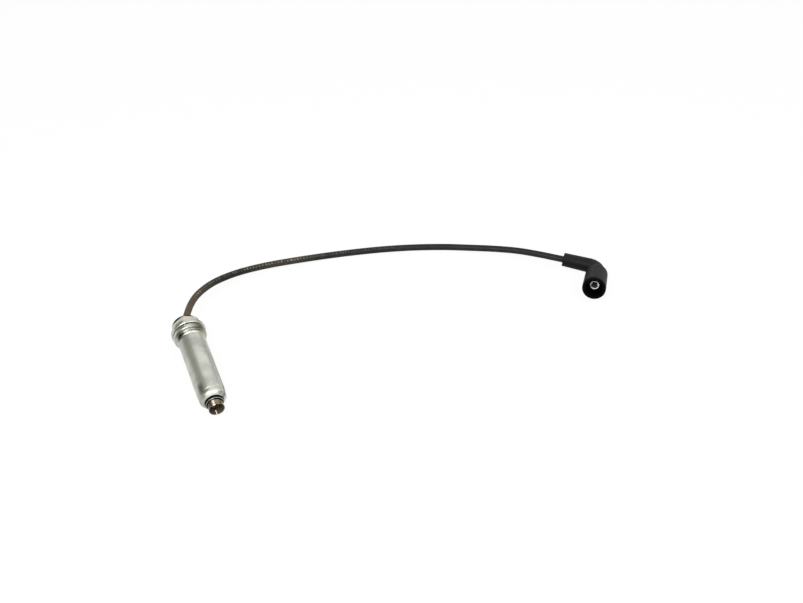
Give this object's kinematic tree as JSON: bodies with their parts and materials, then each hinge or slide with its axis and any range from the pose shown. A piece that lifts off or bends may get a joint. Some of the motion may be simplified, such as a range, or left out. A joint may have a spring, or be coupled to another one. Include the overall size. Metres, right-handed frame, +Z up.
{
  "type": "spark plug wire",
  "caption": "Ignition cable joining a steel-shielded plug connector with a hexagonal cap to a right-angled rubber boot with a slotted socket terminal.",
  "frame": {"origin": "on the table, under the middle of the box round the two ends of the wire", "axes": "+X from the plug connector to the elbow boot, +Y away from both mouths, towards the cable's bow, +Z up from the table"},
  "size_m": [0.4472, 0.2568, 0.0346],
  "materials": {
    "zinc_steel": "satin zinc plate",
    "bright_zinc": "bright zinc plate",
    "bronze_plated": "glossy bronze brown",
    "brass": "plain",
    "tinned": "bright tin plate",
    "spring_steel": "drawn wire",
    "phenolic": "dark brown moulding",
    "resistor": "matt",
    "rubber": "matt black",
    "silicone": "semi-matt blue black",
    "core": "carbon yarn"
  },
  "bodies": {
    "root": {"shield_sleeve": "zinc_steel", "rim_gasket": "rubber", "hex_cap": "bright_zinc", "cable_grommet": "rubber", "insulator_body": "phenolic", "cable_ferrule": "brass", "contact_spring": "spring_steel", "resistor_rod": "resistor", "resistor_back_cap": "tinned", "resistor_front_cap": "tinned", "plug_terminal": "brass", "terminal_clip": "spring_steel", "nose_sleeve": "bronze_plated", "nose_seal": "rubber", "nose_circlip": "bright_zinc", "elbow_boot": "rubber", "coil_terminal": "tinned", "contact_leaf_a": "brass", "contact_leaf_b": "brass", "cable_core": "core", "ignition_cable": "silicone"}
  },
  "joints": []
}
